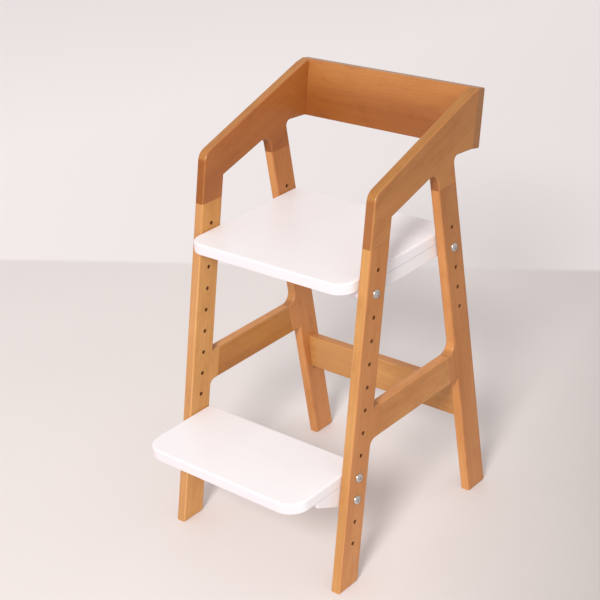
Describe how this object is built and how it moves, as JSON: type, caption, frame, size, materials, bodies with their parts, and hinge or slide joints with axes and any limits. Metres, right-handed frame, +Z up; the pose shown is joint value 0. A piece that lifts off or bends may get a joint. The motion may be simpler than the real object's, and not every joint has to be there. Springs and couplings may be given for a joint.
{
  "type": "growing high chair",
  "caption": "Wooden growing high chair with open side frames, rows of adjustment holes, a white seat board and a white footrest that slides up and down the front legs.",
  "frame": {"origin": "on the floor, at the middle of the chair's overall width and depth", "axes": "+Z up, -Y towards the front that the child faces, +X towards the frame named right"},
  "size_m": [0.4106, 0.5473, 0.7872],
  "materials": {
    "oiled_wood": "stained and oiled, satin",
    "white_lacquer": "white lacquer, satin",
    "tenon_wood": "plain beech, unfinished",
    "bolt_steel": "zinc plated, semi-bright",
    "screw_steel": "zinc plated",
    "insert_metal": "plain machined"
  },
  "bodies": {
    "frame": {"backboard": "oiled_wood", "left_arm": "oiled_wood", "left_arm_front_tenon": "tenon_wood", "left_arm_rear_tenon": "tenon_wood", "left_front_leg": "oiled_wood", "left_front_seat_bolt": "bolt_steel", "left_front_seat_insert": "insert_metal", "left_front_seat_screw": "screw_steel", "left_lower_backboard_screw": "screw_steel", "left_rear_leg": "oiled_wood", "left_rear_rail_tenon": "tenon_wood", "left_rear_seat_bolt": "bolt_steel", "left_rear_seat_insert": "insert_metal", "left_rear_seat_screw": "screw_steel", "left_seat_rail": "white_lacquer", "left_side_stretcher": "oiled_wood", "left_stretcher_front_tenon": "tenon_wood", "left_stretcher_rear_tenon": "tenon_wood", "left_upper_backboard_screw": "screw_steel", "rear_rail": "oiled_wood", "right_arm": "oiled_wood", "right_arm_front_tenon": "tenon_wood", "right_arm_rear_tenon": "tenon_wood", "right_front_leg": "oiled_wood", "right_front_seat_bolt": "bolt_steel", "right_front_seat_insert": "insert_metal", "right_front_seat_screw": "screw_steel", "right_lower_backboard_screw": "screw_steel", "right_rear_leg": "oiled_wood", "right_rear_rail_tenon": "tenon_wood", "right_rear_seat_bolt": "bolt_steel", "right_rear_seat_insert": "insert_metal", "right_rear_seat_screw": "screw_steel", "right_seat_rail": "white_lacquer", "right_side_stretcher": "oiled_wood", "right_stretcher_front_tenon": "tenon_wood", "right_stretcher_rear_tenon": "tenon_wood", "right_upper_backboard_screw": "screw_steel", "seat_board": "white_lacquer"},
    "footrest": {"footrest_board": "white_lacquer", "left_footrest_bracket": "white_lacquer", "left_footrest_tenon": "tenon_wood", "left_lower_footrest_bolt": "bolt_steel", "left_lower_footrest_insert": "insert_metal", "left_upper_footrest_bolt": "bolt_steel", "left_upper_footrest_insert": "insert_metal", "right_footrest_bracket": "white_lacquer", "right_footrest_tenon": "tenon_wood", "right_lower_footrest_bolt": "bolt_steel", "right_lower_footrest_insert": "insert_metal", "right_upper_footrest_bolt": "bolt_steel", "right_upper_footrest_insert": "insert_metal"}
  },
  "joints": [
    {"name": "footrest_height", "type": "slide", "parent": "frame", "child": "footrest", "axis": [0, 0.2284, 0.9736], "range_m": [-0.08217, 0.16434]}
  ]
}
